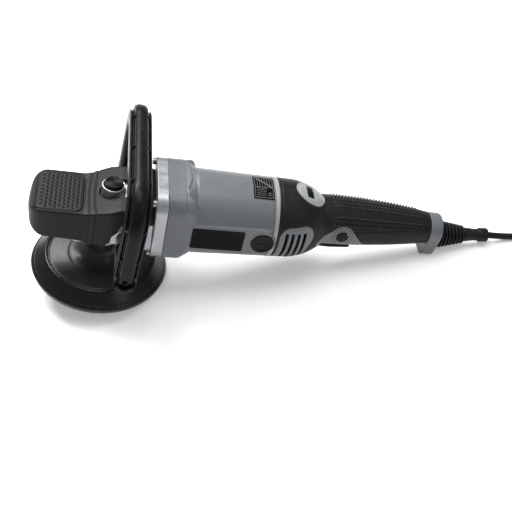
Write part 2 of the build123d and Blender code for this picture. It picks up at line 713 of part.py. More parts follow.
def across_boot(radius, low, high):
    return boot_place(Pos(0, 0, (low + high) / 2) * Cylinder(radius, high - low))


def cord_boot():
    outline = Polyline((0, -12.0), (9.0, -12.0), (9.0, -1.5), (13.5, -1.5), (13.0, 5.0), (8.2, 34.0),
                       (6.9, 46.0), (6.9, 51.0), (8.1, 52.0), (8.1, BOOT_LENGTH - 1.0), (7.4, BOOT_LENGTH),
                       (0, BOOT_LENGTH), close=True)
    body = revolve(Plane.XZ * make_face(outline), Axis.Z)
    for i in range(7):
        z = 4.0 + 4.4 * i
        radius = 15.6 - 0.19 * z
        body += Pos(0, 0, z) * Cylinder(radius, 2.2)
    body -= Pos(0, 0, BOOT_LENGTH / 2) * Cylinder(CORD_D / 2, BOOT_LENGTH * 2)
    return boot_place(body)


def cord_clamp():
    """Clamp bar across the cord's jacket inside the handle."""
    bar = block((338.0, 346.0), (-11.0, 11.0), (98.0, 103.0))
    return bar - Pos(342.0, -8.0, 100.0) * Cylinder(1.4, 12.0) - Pos(342.0, 8.0, 100.0) * Cylinder(1.4, 12.0)


# The cord lies in the bench frame: X = 0 where the plate touches the bench, Z = 0 the bench.
CORD_R = CORD_D / 2
LEAD_ROUTE = [(391.0, 0.0, 5.8), (410.0, -0.8, 3.9), (432.0, -2.0, 3.9), (452.0, -4.5, 3.9),
              (474.0, -13.5, 3.9)]
TAIL_ROUTE = [(494.4, -101.8, 11.4), (480.5, -118.5, 9.8), (463.5, -132.5, 7.4), (444.0, -141.0, 8.6),
              (424.0, -141.0, 8.6)]
COIL_CENTRE = (456.6, -64.0)
PLUG_X = (379.0, 424.0)


def bench_point(x, y, z):
    """A tool-frame point in the bench frame."""
    s, c = math.sin(math.radians(REST_TILT)), math.cos(math.radians(REST_TILT))
    along = x - REST_X
    return (along * c + z * s, y, -along * s + z * c)


def corner_radii(points):
    """The largest arc that each corner's runs allow."""
    points = [Vector(*p) for p in points]
    radii = []
    for before, here, after in zip(points, points[1:], points[2:]):
        turn = math.radians((here - before).get_angle(after - here))
        shorter = min((here - before).length, (after - here).length)
        radii.append(0.45 * shorter / math.tan(turn / 2))
    return radii


def cord_tube(name, points):
    radii = corner_radii(points)
    route = FilletPolyline(*points, radius=radii)
    start = Plane(origin=points[0], z_dir=Vector(*points[1]) - Vector(*points[0]))
    tube = sweep(start * Circle(CORD_R), path=route)
    expected = math.pi * CORD_R ** 2 * route.length
    print(f"{name}: length {route.length:.1f}, radii {[round(r) for r in radii]}, "
          f"volume over section times length {tube.volume / expected:.4f}")
    return tube


def boot_end():
    tilt = math.radians(BOOT_TILT)
    along, up = BOOT_LENGTH * math.cos(tilt), BOOT_LENGTH * math.sin(tilt)
    return bench_point(END_RING_X[1] + along, 0, BOOT_Z + up)


def cord_lead():
    return cord_tube("cord_lead", [boot_end(), *LEAD_ROUTE])


def cord_tail():
    return cord_tube("cord_tail", TAIL_ROUTE)


def cord_coil():
    half = COIL_WIDE * CORD_R
    return Pos(*COIL_CENTRE, 0) * ring(COIL_MEAN_R + half, COIL_MEAN_R - half, 0.1, COIL_HIGH * CORD_D + 0.1)


def plug():
    """Two-pin plug lying flat beside the coil."""
    length = PLUG_X[1] - PLUG_X[0]
    near = [(0, -13.0), (18.0, -18.0), (32.0, -10.5), (length, -6.0)]
    far = [(x, -y) for x, y in reversed(near)]
    outline = make_face(Polyline(*near, *far, close=True))
    body = Pos(PLUG_X[0], TAIL_ROUTE[-1][1], 0.1) * extrude(outline, 17.0)
    return chamfer(body.edges().group_by(Axis.Z)[-1] + body.edges().group_by(Axis.Z)[0], 1.5)


def plug_pins():
    pin = Rot(0, -90, 0) * Pos(0, 0, 9.5) * Cylinder(2.4, 19.0)
    return group([Pos(PLUG_X[0], TAIL_ROUTE[-1][1] + y, 8.6) * pin for y in (-9.5, 9.5)])


# ---------------------------------------------------------------- assembly

PLATE_NODES = {
    "backing_disc": backing_disc, "backing_ring": backing_ring, "hook_face": hook_face,
    "plate_spindle": plate_spindle, "plate_screw": plate_screw,
}
TOOL_NODES = {
    "drive_spindle": drive_spindle, "eccentric_bearings": eccentric_bearings, "counterweight": counterweight,
    "spindle_bearings": spindle_bearings,
    "driven_gear": driven_gear, "pinion": pinion, "bearing_box": bearing_box,
    "bearing_box_screws": bearing_box_screws, "gear_housing": gear_housing, "head_cover": head_cover,
    "spindle_lock_button": spindle_lock_button, "spindle_lock_spring": spindle_lock_spring,
    "loop_handle": loop_handle, "loop_handle_bolts": loop_handle_bolts, "flange_screws": flange_screws,
    "armature_shaft": armature_shaft, "armature_bearings": armature_bearings,
    "fan_baffle": fan_baffle, "cooling_fan": cooling_fan,
    "armature_core": armature_core, "armature_windings": armature_windings, "commutator": commutator,
    "stator_core": stator_core, "field_coils": field_coils, "motor_housing": motor_housing,
    "name_plate": name_plate, "speed_chart": speed_chart, "brush_holders": brush_holders,
    "carbon_brushes": carbon_brushes, "brush_springs": brush_springs, "brush_caps": brush_caps,
    "collar_band": collar_band, "handle_shell_left": lambda: handle_shell(-1),
    "handle_shell_right": lambda: handle_shell(1), "vent_panels": vent_panels,
    "trigger_surrounds": trigger_surrounds, "dial_bezel": dial_bezel, "speed_dial": speed_dial,
    "speed_board": speed_board, "switch_body": switch_body, "trigger": trigger, "trigger_pin": trigger_pin,
    "trigger_spring": trigger_spring, "lock_button": lock_button, "lock_spring": lock_spring,
    "handle_screws": handle_screws, "end_ring": end_ring, "cord_boot": cord_boot, "cord_clamp": cord_clamp,
}
CORD_NODES = {
    "cord_lead": cord_lead, "cord_coil": cord_coil, "cord_tail": cord_tail,
    "plug": plug, "plug_pins": plug_pins,
}


def lay_down(shape):
    """From the tool frame to the bench frame."""
    return Rot(0, REST_TILT, 0) * Pos(-REST_X, 0, 0) * shape


def build():
    laid = {}
    for name, make in PLATE_NODES.items():
        laid[name] = lay_down(Pos(0, ORBIT, 0) * make())
    for name, make in TOOL_NODES.items():
        laid[name] = lay_down(make())
    boxes = [shape.bounding_box() for shape in laid.values()]
    centre_x = (min(b.min.X for b in boxes) + max(b.max.X for b in boxes)) / 2
    for name, make in CORD_NODES.items():
        laid[name] = make()
    print(f"bench contact lies at X = {-centre_x:.3f} in the part's own frame")
    return {name: Pos(-centre_x, 0, 0) * shape for name, shape in laid.items()}, centre_x


if __name__ == "__main__":
    os.makedirs("parts", exist_ok=True)
    nodes, _ = build()
    for name, shape in nodes.items():
        export_step(shape, f"parts/{name}.step")
    print(len(nodes), "nodes written")
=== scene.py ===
import json
import math

import bmesh
import bpy
import numpy as np
from mathutils import Matrix, Vector

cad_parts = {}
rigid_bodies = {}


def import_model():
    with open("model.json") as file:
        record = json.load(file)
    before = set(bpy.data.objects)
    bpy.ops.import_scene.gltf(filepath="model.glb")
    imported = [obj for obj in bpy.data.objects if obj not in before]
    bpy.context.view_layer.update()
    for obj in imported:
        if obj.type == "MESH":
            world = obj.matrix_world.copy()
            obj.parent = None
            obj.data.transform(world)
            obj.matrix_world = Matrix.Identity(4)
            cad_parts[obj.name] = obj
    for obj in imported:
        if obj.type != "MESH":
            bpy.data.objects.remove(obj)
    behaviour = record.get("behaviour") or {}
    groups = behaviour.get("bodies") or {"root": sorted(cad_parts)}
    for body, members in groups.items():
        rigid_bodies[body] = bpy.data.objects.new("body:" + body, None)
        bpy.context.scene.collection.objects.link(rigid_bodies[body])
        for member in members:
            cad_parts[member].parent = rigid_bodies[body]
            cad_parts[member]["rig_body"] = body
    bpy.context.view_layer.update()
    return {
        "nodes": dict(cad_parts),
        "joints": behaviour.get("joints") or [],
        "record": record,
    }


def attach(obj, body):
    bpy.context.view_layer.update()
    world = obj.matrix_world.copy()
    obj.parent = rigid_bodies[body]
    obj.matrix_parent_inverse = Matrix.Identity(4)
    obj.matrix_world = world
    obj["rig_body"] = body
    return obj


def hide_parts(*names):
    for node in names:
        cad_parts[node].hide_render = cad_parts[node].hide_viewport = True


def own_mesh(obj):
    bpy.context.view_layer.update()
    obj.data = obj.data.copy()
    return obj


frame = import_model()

MM = 0.001
JOINTS = {joint["name"]: joint for joint in frame["joints"]}

# ---------------------------------------------------------------- tool frame
# The spindle axis is the tool's Z and the motor axis its X. The tool lies tilted in the row frame.
UP = Vector(JOINTS["spindle_spin"]["axis"]).normalized()
ALONG = Vector(JOINTS["armature_spin"]["axis"]).normalized()
SIDE = UP.cross(ALONG)
AXES = np.array([ALONG, SIDE, UP])
SPINDLE_MARK = 70.0          # height of the spindle joint's point above the plate's face
ORIGIN = np.array(Vector(JOINTS["spindle_spin"]["pos_m"]) - UP * SPINDLE_MARK * MM)
AXIS_Z = 97.0
REST_X = 74.5                # the bench touches the plate's rear edge here
ORBIT = 4.0                  # at rest the plate's centre stands this far to +Y


def to_tool(points):
    return (np.asarray(points, float) - ORIGIN) @ AXES.T / MM


def from_tool(points):
    return ORIGIN + (np.asarray(points, float) * MM) @ AXES


BENCH = from_tool([REST_X, 0, 0])


def from_bench(points):
    """Points on the bench, from where the plate touches it, in millimetres."""
    return BENCH * [1, 1, 0] + np.asarray(points, float) * MM


# ---------------------------------------------------------------- small maths

def rise(low, high, value):
    t = np.clip((value - low) / (high - low), 0, 1)
    return t * t * (3 - 2 * t)


def band(value, low, high, soft):
    return rise(low - soft, low + soft, value) * (1 - rise(high - soft, high + soft, value))


def rounded_box(u, v, half_u, half_v, corner):
    """Signed distance to a rounded rectangle."""
    du = np.abs(u) - (half_u - corner)
    dv = np.abs(v) - (half_v - corner)
    outside = np.hypot(np.maximum(du, 0), np.maximum(dv, 0))
    return outside + np.minimum(np.maximum(du, dv), 0) - corner


def groove(distance, width, soft=0.35):
    return 1 - rise(width / 2 - soft, width / 2 + soft, np.abs(distance))


# ---------------------------------------------------------------- materials

def link(tree, a, b):
    tree.links.new(a, b)


def noise(tree, coord, scale, detail=3.0, roughness=0.55):
    node = tree.nodes.new("ShaderNodeTexNoise")
    node.inputs["Scale"].default_value = scale
    node.inputs["Detail"].default_value = detail
    node.inputs["Roughness"].default_value = roughness
    link(tree, coord, node.inputs["Vector"])
    return node.outputs["Fac"]


def ramp(tree, value, low, high, to_low=0.0, to_high=1.0):
    node = tree.nodes.new("ShaderNodeMapRange")
    node.inputs["From Min"].default_value = low
    node.inputs["From Max"].default_value = high
    node.inputs["To Min"].default_value = to_low
    node.inputs["To Max"].default_value = to_high
    link(tree, value, node.inputs["Value"])
    return node.outputs["Result"]


def blend_colour(tree, factor, a, b):
    node = tree.nodes.new("ShaderNodeMix")
    node.data_type = "RGBA"
    link(tree, factor, node.inputs["Factor"])
    # sockets 6 and 7 are the node's colours A and B, and output 2 their mixture
    for socket, value in ((node.inputs[6], a), (node.inputs[7], b)):
        if isinstance(value, tuple):
            socket.default_value = (*value, 1)
        else:
            link(tree, value, socket)
    return node.outputs[2]


def maths(tree, kind, a, b):
    node = tree.nodes.new("ShaderNodeMath")
    node.operation = kind
    for socket, value in zip(node.inputs, (a, b)):
        if isinstance(value, float):
            socket.default_value = value
        else:
            link(tree, value, socket)
    return node.outputs[0]


def shade(colour, factor):
    return tuple(min(1.0, c * factor) for c in colour)


BROAD_SCALE, PATCH_SCALE, DUST_SCALE = 26.0, 140.0, 620.0
DUST_COLOUR = (0.45, 0.45, 0.44)
COAT_ROUGHNESS = 0.12


def make_material(name, colour, rough, metal=0.0, mottle=0.15, grain=1400.0, depth=0.00004, strength=0.35,
                  spread=0.08, dust=0.0, wear=0.0, stretch=(1, 1, 1), coat=0.0, specular=0.5, cells=0.0,
                  sheen=0.0):
    """Mottled colour, fine dust, uneven gloss, a moulded or machined grain, and rubbed edges."""
    material = bpy.data.materials.new(name)
    material.use_nodes = True
    tree = material.node_tree
    surface = tree.nodes["Principled BSDF"]
    surface.inputs["Metallic"].default_value = metal
    surface.inputs["Coat Weight"].default_value = coat
    surface.inputs["Coat Roughness"].default_value = COAT_ROUGHNESS
    surface.inputs["Specular IOR Level"].default_value = specular
    surface.inputs["Sheen Weight"].default_value = sheen
    coords = tree.nodes.new("ShaderNodeTexCoord").outputs["Object"]
    mapped = tree.nodes.new("ShaderNodeMapping")
    mapped.inputs["Scale"].default_value = stretch
    link(tree, coords, mapped.inputs["Vector"])
    broad = noise(tree, coords, BROAD_SCALE, 4.0)
    patchy = noise(tree, coords, PATCH_SCALE, 5.0, 0.65)
    fine = noise(tree, mapped.outputs["Vector"], grain, 2.0)
    mixed = ramp(tree, maths(tree, "ADD", broad, patchy), 0.75, 1.25)
    base = blend_colour(tree, mixed, shade(colour, 1 - mottle), shade(colour, 1 + mottle))
    if dust > 0:
        specks = ramp(tree, noise(tree, coords, DUST_SCALE, 6.0, 0.8), 0.60, 0.78, 0.0, dust)
        base = blend_colour(tree, specks, base, DUST_COLOUR)
    if wear > 0:
        edge = tree.nodes.new("ShaderNodeNewGeometry").outputs["Pointiness"]
        rubbed = maths(tree, "MULTIPLY", ramp(tree, edge, 0.515, 0.60, 0.0, wear),
                       ramp(tree, patchy, 0.3, 0.7))
        base = blend_colour(tree, rubbed, base, shade(tuple(c + 0.04 for c in colour), 2.2))
    link(tree, base, surface.inputs["Base Color"])
    uneven = maths(tree, "ADD", ramp(tree, patchy, 0.3, 0.7, rough - spread, rough + spread),
                   ramp(tree, fine, 0.3, 0.7, -0.04, 0.04))
    link(tree, uneven, surface.inputs["Roughness"])
    height = fine
    if cells > 0:
        pebble = tree.nodes.new("ShaderNodeTexVoronoi")
        pebble.inputs["Scale"].default_value = cells
        link(tree, coords, pebble.inputs["Vector"])
        height = maths(tree, "ADD", fine, pebble.outputs["Distance"])
    bump = tree.nodes.new("ShaderNodeBump")
    bump.inputs["Strength"].default_value = strength
    bump.inputs["Distance"].default_value = depth
    link(tree, height, bump.inputs["Height"])
    link(tree, bump.outputs["Normal"], surface.inputs["Normal"])
    return material


FINISHES = {
    "black_rubber": dict(colour=(0.0095, 0.0095, 0.010), rough=0.42, mottle=0.25, dust=0.008, cells=1500.0,
                         depth=0.00006, wear=0.30, specular=0.12),
    "black_plastic": dict(colour=(0.0052, 0.0052, 0.0056), rough=0.32, mottle=0.2, dust=0.004, cells=1900.0,
                          depth=0.00005, wear=0.35, specular=0.10),
    "grey_plastic": dict(colour=(0.108, 0.116, 0.124), rough=0.38, mottle=0.05, dust=0.015, cells=1700.0,
                         depth=0.00004, wear=0.25, specular=0.4),
    "light_grey_plastic": dict(colour=(0.24, 0.25, 0.255), rough=0.42, mottle=0.05, dust=0.01, cells=1700.0,
                               depth=0.00003, wear=0.1),
    "cast_aluminium": dict(colour=(0.33, 0.34, 0.355), rough=0.36, metal=0.75, mottle=0.12, grain=1100.0,
                           depth=0.00009, strength=0.5, cells=900.0, wear=0.3),
    "disc_plastic": dict(colour=(0.020, 0.021, 0.021), rough=0.30, mottle=0.08, dust=0.003, grain=500.0,
                         depth=0.00001, strength=0.1, coat=0.06, wear=0.2, specular=0.2, spread=0.03),
    "plate_urethane": dict(colour=(0.0058, 0.0058, 0.0062), rough=0.25, mottle=0.12, grain=420.0, spread=0.03,
                           depth=0.00001, strength=0.1, wear=0.2, specular=0.22),
    "hook_fabric": dict(colour=(0.030, 0.030, 0.031), rough=0.85, mottle=0.3, dust=0.1, cells=1300.0,
                        depth=0.0006, strength=0.9, sheen=0.4),
    "steel": dict(colour=(0.34, 0.34, 0.35), rough=0.34, metal=1.0, mottle=0.08, stretch=(1, 9, 1)),
    "zinc_steel": dict(colour=(0.27, 0.27, 0.265), rough=0.38, metal=1.0, mottle=0.2, wear=0.2),
    "black_steel": dict(colour=(0.045, 0.045, 0.048), rough=0.35, metal=0.8, mottle=0.25, wear=0.5),
    "copper": dict(colour=(0.68, 0.33, 0.16), rough=0.35, metal=1.0, mottle=0.2, stretch=(1, 12, 1),
                   coat=0.4),
    "brass": dict(colour=(0.74, 0.56, 0.25), rough=0.3, metal=1.0, mottle=0.15),
    "carbon": dict(colour=(0.035, 0.035, 0.036), rough=0.6, mottle=0.3, metal=0.2),
    "circuit_board": dict(colour=(0.03, 0.12, 0.06), rough=0.4, mottle=0.2, coat=0.3),
    "label_black": dict(colour=(0.0022, 0.0022, 0.0025), rough=0.34, mottle=0.2, dust=0.004, specular=0.06,
                        depth=0.00001, wear=0.1),
    "plug_black": dict(colour=(0.0075, 0.0075, 0.008), rough=0.42, mottle=0.2, dust=0.006, cells=1500.0,
                       wear=0.3, specular=0.14),
    "nickel": dict(colour=(0.72, 0.70, 0.66), rough=0.2, metal=1.0, mottle=0.06, stretch=(9, 1, 1)),
}
PLAIN = {name: make_material(name, **{**spec, "wear": 0.0}) for name, spec in FINISHES.items()}
WORN = {name: make_material(f"{name}_worn", **spec) for name, spec in FINISHES.items()}
SLOT_OF = {part["node"]: part["material_slot"] for part in frame["record"]["subparts"]}

for node, piece in frame["nodes"].items():
    piece.data.materials.clear()
    piece.data.materials.append(PLAIN[SLOT_OF[node]])


# ---------------------------------------------------------------- pieces made from the frame's solids

def coordinates(mesh):
    flat = np.zeros(len(mesh.vertices) * 3)
    mesh.vertices.foreach_get("co", flat)
    return flat.reshape(-1, 3)


def add_piece(name, mesh, body, slot, material=None):
    piece = bpy.data.objects.new(name, mesh)
    bpy.context.scene.collection.objects.link(piece)
    mesh.materials.clear()
    mesh.materials.append(material or WORN[slot])
    mesh.polygons.foreach_set("use_smooth", [True] * len(mesh.polygons))
    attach(piece, body)
    return piece


COARSE = 1.0     # scale on every skin's voxel size


def remake(node, voxel, sculpt=None, smoothing=3):
    """A softened, closed skin of a CAD node, with moulded detail raised or sunk by sculpt()."""
    source = frame["nodes"][node]
    work = bpy.data.objects.new("work", source.data.copy())
    bpy.context.scene.collection.objects.link(work)
    remesh = work.modifiers.new("skin", "REMESH")
    remesh.mode = "VOXEL"
    remesh.voxel_size = voxel * COARSE * MM
    relax = work.modifiers.new("relax", "SMOOTH")
    relax.factor = 0.5
    relax.iterations = smoothing
    bpy.context.view_layer.update()
    skin = bpy.data.meshes.new_from_object(work.evaluated_get(bpy.context.evaluated_depsgraph_get()))
    bpy.data.objects.remove(work)
    if sculpt:
        normals = np.zeros(len(skin.vertices) * 3)
        skin.vertex_normals.foreach_get("vector", normals)
        places = to_tool(coordinates(skin))
        moved = places + sculpt(places, normals.reshape(-1, 3) @ AXES.T)
        skin.vertices.foreach_set("co", from_tool(moved).ravel())
        skin.update()
    piece = add_piece(f"{node}_skin", skin, source["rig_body"], SLOT_OF[node])
    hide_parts(node)
    return piece


def along_normals(normals, amount):
    return normals * amount[:, None]


# Head cover: grip pad on the nose, with staggered pyramids and a groove round it, and two strap creases.
PAD = dict(x=-46.5, half_x=25.0, half_y=30.0, corner=9.0, pitch_x=4.4, pitch_y=5.6,
           pyramid_half=0.36, pyramid_height=1.25, groove_width=1.9, groove_depth=1.1)
CREASES = dict(places=(-17.0, -11.0), bow=0.002, width=1.3, depth=0.7)


def sculpt_head(p, n):
    x, y, z = p.T
    top = rise(0.35, 0.75, n[:, 2]) * rise(99.0, 102.0, z)
    edge = rounded_box(x - PAD["x"], y, PAD["half_x"], PAD["half_y"], PAD["corner"])
    amount = -PAD["groove_depth"] * groove(edge, PAD["groove_width"]) * top
    row = np.floor(x / PAD["pitch_x"])
    u = x / PAD["pitch_x"] - row - 0.5
    v = (y / PAD["pitch_y"] + 0.5 * (row % 2)) % 1.0 - 0.5
    pyramid = np.clip(1 - np.maximum(np.abs(u), np.abs(v)) / PAD["pyramid_half"], 0, 1)
    amount += PAD["pyramid_height"] * pyramid * (1 - rise(-4.0, -2.6, edge)) * top
    outer = rise(-0.2, 0.3, n[:, 2] * 0.5 + np.abs(n[:, 1]) + 0.1)
    outside = outer * (np.abs(y) > 31.0) + top
    for place in CREASES["places"]:
        crease = groove(x - place - CREASES["bow"] * y * y, CREASES["width"])
        amount -= CREASES["depth"] * crease * np.clip(outside, 0, 1)
    return along_normals(n, amount)


# Loop handle: a smooth raised band between two rows of slots, broken by thin ribs.
HOOP = dict(x=24.2, z=74.5, lean=math.radians(3.8), leg_y=83.5, bend=27.5, bend_y=56.0, bend_z=136.5,
            top_z=164.0)
RIBS = (30.0, 67.0, 110.0, 161.2)      # places along the bar, from its bolt
RIB_WIDTH = 1.7
SLOT_LINE, SLOT_WIDTH, SLOT_DEPTH = 8.3, 3.0, 4.4
BAND_HEIGHT, BAND_CROWN, RIM_DROP = 0.7, 1.5, 1.5


def hoop_places(p):
    """Place across the bar, height above its centre line, path length from the bolt, outward direction."""
    dx, dz = p[:, 0] - HOOP["x"], p[:, 2] - HOOP["z"]
    c, s = math.cos(HOOP["lean"]), math.sin(HOOP["lean"])
    u, z, y = dx * c - dz * s, dx * s + dz * c + HOOP["z"], np.abs(p[:, 1])
    a = np.clip(np.arctan2(z - HOOP["bend_z"], y - HOOP["bend_y"]), 0, math.pi / 2)
    leg, top = z < HOOP["bend_z"], y < HOOP["bend_y"]
    height = np.where(leg, y - HOOP["leg_y"], np.where(
        top, z - HOOP["top_z"], np.hypot(y - HOOP["bend_y"], z - HOOP["bend_z"]) - HOOP["bend"]))
    leg_length = HOOP["bend_z"] - HOOP["z"]
    path = np.where(leg, z - HOOP["z"], leg_length + HOOP["bend"] * a + np.where(top, HOOP["bend_y"] - y, 0))
    out_y = np.where(leg, 1.0, np.where(top, 0.0, np.cos(a))) * np.sign(p[:, 1])
    out_z = np.where(leg, 0.0, np.where(top, 1.0, np.sin(a)))
    out = np.stack([out_z * s, out_y, out_z * c], 1)
    return u, height, path, out


def sculpt_loop(p, n):
    u, height, path, out = hoop_places(p)
    outer = rise(1.0, 3.0, height) * rise(0.15, 0.45, np.einsum("ij,ij->i", n, out))
    ribs = sum(groove(path - at, RIB_WIDTH, 0.4) for at in RIBS)
    slots = groove(np.abs(u) - SLOT_LINE, SLOT_WIDTH, 0.4) * rise(-4.0, -2.0, path)
    raised = (1 - rise(6.3, 7.3, np.abs(u))) * (BAND_HEIGHT - BAND_CROWN * (u / 7.0) ** 2)
    rim = RIM_DROP * rise(8.6, 10.2, np.abs(u))
    amount = outer * (raised - rim - SLOT_DEPTH * slots * (1 - np.clip(ribs, 0, 1)))
    return out * amount[:, None]


# Motor housing: pointed gussets and a crescent boss behind the flange, frame round the name plate, grooves
# at both ends.
GUSSET = dict(x=80.0, length=15.0, angle=43.5, half=13.5, height=4.2, grows=(79.8, 86.0), fades=(88.5, 95.5))
CRESCENT = dict(tip=86.5, bow=7.0, half=28.0, height=1.7, grows=(79.9, 81.6))
NAME_PLATE = dict(x=116.5, half_x=29.0, half_z=15.0, corner=2.6)
NAME_PANEL = dict(x=117.0, half_x=34.5, half_z=16.2, corner=3.0)
NAME_SIDE_Y, NAME_END_X = 43.0, 152.0     # the frames are cut further out than this, and in front of this
MOTOR_SKIN_R = 38.5                       # what lies nearer the motor axis is inside
FLANGE_GROOVE_X, END_GROOVE_X = 80.3, 172.3


def sculpt_motor(p, n):
    x, y, z = p.T
    zc = z - AXIS_Z
    radius = np.maximum(np.hypot(y, zc), 1e-6)
    angle = np.degrees(np.arctan2(np.abs(y), zc))
    outside = rise(-0.2, 0.2, (n[:, 1] * y + n[:, 2] * zc) / radius + 0.4 * n[:, 0]) * (radius > MOTOR_SKIN_R)
    reach = GUSSET["half"] * (1 - (x - GUSSET["x"]) / GUSSET["length"])
    ridge = np.clip((reach - np.abs(angle - GUSSET["angle"])) / 6.0, 0, 1)
    gusset = rise(*GUSSET["grows"], x) * ridge * (1 - rise(*GUSSET["fades"], x))
    bowed = CRESCENT["tip"] - CRESCENT["bow"] * (angle / CRESCENT["half"]) ** 2 - x
    crescent = rise(*CRESCENT["grows"], x) * rise(0, 0.9, bowed) * (angle < CRESCENT["half"])
    amount = outside * (GUSSET["height"] * gusset + CRESCENT["height"] * crescent)
    side = rise(0.6, 0.9, np.abs(n[:, 1])) * (np.abs(y) > NAME_SIDE_Y)
    plate, panel = (rounded_box(x - box["x"], zc, box["half_x"], box["half_z"], box["corner"])
                    for box in (NAME_PLATE, NAME_PANEL))
    amount -= side * (0.6 * groove(plate, 1.0) + 0.35 * groove(panel, 0.9)) * (x < NAME_END_X)
    amount -= outside * (0.7 * groove(x - END_GROOVE_X, 1.0) + 0.5 * groove(x - FLANGE_GROOVE_X, 0.9))
    return along_normals(n, amount)


# Handle shells: rows of small grip bumps and a long crease on each side of the grip.
GRIP_AXIS_Z = 100.4
BUMP_ROWS = (6.0, 17.0, 44.0, 53.0, 62.0)     # degrees from the top
BUMP_PITCH, BUMP_HEIGHT = 3.6, 1.6
BUMP_REACH = (242.0, 346.0)
GRIP_CREASE = dict(angle=71.0, swing=9.0, x=236.0, wave=38.0, reach=(238.0, 350.0), width=1.2, depth=0.55)
SHELL_GROOVE_X = 181.0


def sculpt_shell(p, n):
    x, y, z = p.T
    zc = z - GRIP_AXIS_Z
    radius = np.maximum(np.hypot(y, zc), 1e-6)
    angle = np.degrees(np.arctan2(np.abs(y), zc))
    outside = rise(0.2, 0.5, (n[:, 1] * y + n[:, 2] * zc) / radius)
    amount = np.zeros(len(x))
    for index, row in enumerate(BUMP_ROWS):
        along = (x / BUMP_PITCH + 0.5 * (index % 2)) % 1.0 - 0.5
        distance = np.hypot(along * BUMP_PITCH, np.radians(angle - row) * radius)
        amount += BUMP_HEIGHT * (1 - rise(0.25, 1.5, distance))
    amount *= band(x, *BUMP_REACH, 3.0)
    swing = GRIP_CREASE["swing"] * np.cos((x - GRIP_CREASE["x"]) / GRIP_CREASE["wave"])
    crease = np.radians(angle - GRIP_CREASE["angle"] - swing) * radius
    cut = groove(crease, GRIP_CREASE["width"]) * band(x, *GRIP_CREASE["reach"], 4.0)
    amount -= GRIP_CREASE["depth"] * cut
    amount -= 0.5 * groove(x - SHELL_GROOVE_X, 1.0)
    return along_normals(n, amount * outside)


# Trigger surrounds: two rings round the lock button.
LOCK_X, LOCK_Z = 254.3, 99.5
LOCK_RINGS = ((8.6, 1.2), (11.6, 1.1))     # radius and width


def sculpt_surround(p, n):
    x, _, z = p.T
    distance = np.hypot(x - LOCK_X, z - LOCK_Z)
    side = rise(0.3, 0.6, np.abs(n[:, 1]))
    rings = sum(groove(distance - radius, width) for radius, width in LOCK_RINGS)
    return along_normals(n, -0.9 * side * rings * band(z, 90.0, 120.0, 2.0))


# Cord boot: deeper grooves between its ribs. The boot rises a little against the tool's axis.
BOOT = dict(x=373.0, z=92.0, tilt=math.radians(4.0), first=4.0, pitch=4.4, last=33.0, length=62.0)


def sculpt_boot(p, n):
    x, y, z = p.T
    s, c = math.sin(BOOT["tilt"]), math.cos(BOOT["tilt"])
    along = (x - BOOT["x"]) * c + (z - BOOT["z"]) * s
    across = np.stack([np.zeros(len(x)), y, z - BOOT["z"] - along * s], 1)
    radius = np.maximum(np.hypot(across[:, 1], across[:, 2]), 1e-6)
    phase = (along - BOOT["first"]) / BOOT["pitch"]
    from_rib = np.abs(phase - np.round(phase)) * BOOT["pitch"]
    depth = (0.8 - 2.6 * rise(0.8, 1.5, from_rib)) * band(along, 1.5, BOOT["last"], 0.8) * (radius > 6.0)
    return across / radius[:, None] * depth[:, None]


# Dial bezel: an oval groove, and a shallow recess where the dial comes through.
BEZEL = dict(x=214.5, half_x=17.0, half_y=16.0, mean=16.5)
DIAL_SLOT = dict(x=213.4, half_x=5.4, half_y=10.2, corner=2.0)


def sculpt_bezel(p, n):
    x, y, _ = p.T
    oval = (np.hypot((x - BEZEL["x"]) / BEZEL["half_x"], y / BEZEL["half_y"]) - 1) * BEZEL["mean"]
    slot = rounded_box(x - DIAL_SLOT["x"], y, DIAL_SLOT["half_x"], DIAL_SLOT["half_y"], DIAL_SLOT["corner"])
    top = rise(0.2, 0.5, n[:, 2])
    return along_normals(n, top * (-0.45 * groove(oval + 2.4, 0.9) - 0.4 * (1 - rise(0, 1.2, slot))))


# Spindle lock button: rings in its top. Its foot is bevelled to clear the rounded floor of its well when
# it is pressed, and hollowed above its spring.
BUTTON = dict(x=7.3, foot=117.0, foot_height=1.6, ring_pitch=2.1, bevel=1.5, lift=0.9, hollow=2.1,
              hollow_r=7.2, pin_r=3.0)


def sculpt_button(p, n):
    from_axis = p * [1, 1, 0] - [BUTTON["x"], 0, 0]
    distance = np.hypot(from_axis[:, 0], from_axis[:, 1])
    wave = 0.5 - 0.5 * np.cos(distance * 2 * math.pi / BUTTON["ring_pitch"])
    rings = along_normals(n, -0.5 * wave * rise(0.6, 0.9, n[:, 2]) * (distance < 8.7))
    foot = (p[:, 2] < BUTTON["foot"] + BUTTON["foot_height"]) * (distance > BUTTON["pin_r"])
    slope = np.clip(1 - (p[:, 2] - BUTTON["foot"]) / BUTTON["foot_height"], 0, 1)
    inward = -BUTTON["bevel"] * foot * slope * (distance > 7.5)
    bevel = from_axis / np.maximum(distance, 1e-6)[:, None] * inward[:, None]
    lift = np.where(distance < BUTTON["hollow_r"], BUTTON["hollow"], BUTTON["lift"])
    raised = lift * foot * (n[:, 2] < -0.4)
    return rings + bevel + raised[:, None] * np.array([0, 0, 1.0])


# Backing plate: a groove in the ring near its edge, and one in the disc.
RING_GROOVE_R, DISC_GROOVE_R = 71.5, 55.9


def sculpt_plate_ring(p, n):
    distance = np.hypot(p[:, 0], p[:, 1] - ORBIT)
    return along_normals(n, -0.35 * groove(distance - RING_GROOVE_R, 0.9) * rise(0.3, 0.6, n[:, 2]))


def sculpt_disc(p, n):
    distance = np.hypot(p[:, 0], p[:, 1] - ORBIT)
    return along_normals(n, -0.8 * groove(distance - DISC_GROOVE_R, 1.6) * rise(0.6, 0.9, n[:, 2]))


